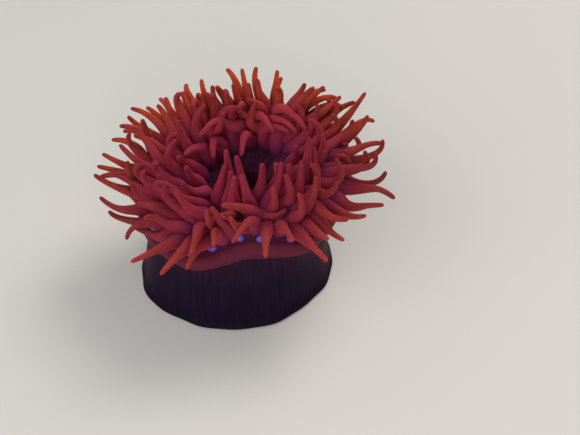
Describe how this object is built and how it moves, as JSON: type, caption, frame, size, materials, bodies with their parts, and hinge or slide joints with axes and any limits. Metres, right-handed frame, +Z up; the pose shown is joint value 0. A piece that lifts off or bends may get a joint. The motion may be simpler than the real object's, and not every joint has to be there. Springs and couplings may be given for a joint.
{
  "type": "beadlet anemone",
  "caption": "Still, life-size beadlet anemone, open on its round foot: a smooth column, a swollen collar with a ring of beads, and a crown of short tapering tentacles.",
  "frame": {"origin": "centre of the foot's flat underside, where it sits on the floor", "axes": "+Z up out of the mouth, -Y toward the front, where the crown nods, +X to the right seen from the front"},
  "size_m": [0.0531, 0.0487, 0.0346],
  "materials": {
    "foot_flesh": "soft, damp flesh, nearly matte, very dark purple red",
    "column_flesh": "smooth damp flesh with fine upright lines, dark purple red, soft sheen",
    "collar_flesh": "smooth damp flesh, wine red, soft sheen",
    "bead_flesh": "smooth, slightly glossy, bright blue violet",
    "disc_flesh": "smooth damp flesh with fine rays, dark wine red",
    "tentacle_flesh": "velvety, slightly translucent flesh, wine red at the root to orange red at the tip"
  },
  "bodies": {
    "root": {"pedal_disc": "foot_flesh", "column": "column_flesh", "collar": "collar_flesh", "bead_ring": "bead_flesh", "oral_disc": "disc_flesh", "mouth": "disc_flesh", "tentacles_01": "tentacle_flesh", "tentacles_02": "tentacle_flesh", "tentacles_03": "tentacle_flesh", "tentacles_04": "tentacle_flesh", "tentacles_05": "tentacle_flesh", "tentacles_06": "tentacle_flesh", "tentacles_07": "tentacle_flesh", "tentacles_08": "tentacle_flesh", "tentacles_09": "tentacle_flesh", "tentacles_10": "tentacle_flesh", "tentacles_11": "tentacle_flesh", "tentacles_12": "tentacle_flesh"}
  },
  "joints": []
}
